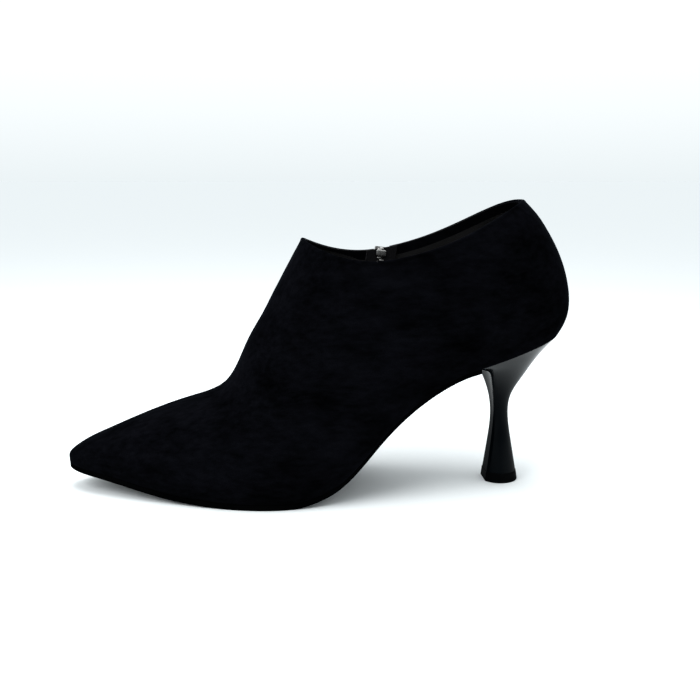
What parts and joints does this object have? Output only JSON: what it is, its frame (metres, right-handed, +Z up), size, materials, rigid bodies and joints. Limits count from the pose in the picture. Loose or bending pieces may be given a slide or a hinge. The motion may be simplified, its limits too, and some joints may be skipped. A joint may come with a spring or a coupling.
{
  "type": "ankle boot",
  "caption": "Left ankle boot in black suede with a pointed toe, a dipped collar, an inner side zip and a slim flared heel; hollow, open at the collar for a foot.",
  "frame": {"origin": "on the floor under the middle of the boot's box", "axes": "+Z up, -X towards the toe, -Y towards the boot's outer side"},
  "size_m": [0.2346, 0.0778, 0.1334],
  "materials": {
    "suede": "black suede nap",
    "sole": "black, smooth, matt",
    "sock": "dark grey, matt",
    "lacquer": "black lacquer",
    "tip": "black, matt",
    "tape": "black woven tape",
    "teeth": "silver, satin",
    "slider": "silver, bright",
    "pull": "silver, bright"
  },
  "bodies": {
    "boot": {"upper": "suede", "outsole": "sole", "insole": "sock", "heel": "lacquer", "heel_tip": "tip", "zip_tape": "tape", "zip_chain": "teeth", "zip_slider": "slider"},
    "zip_pull": {"zip_pull": "pull"}
  },
  "joints": [
    {"name": "pull_swing", "type": "hinge", "parent": "boot", "child": "zip_pull", "pos_m": [0.03238, 0.03357, 0.10603], "axis": [0.9911, -0.008, -0.1331], "range_deg": [0, 160]}
  ]
}
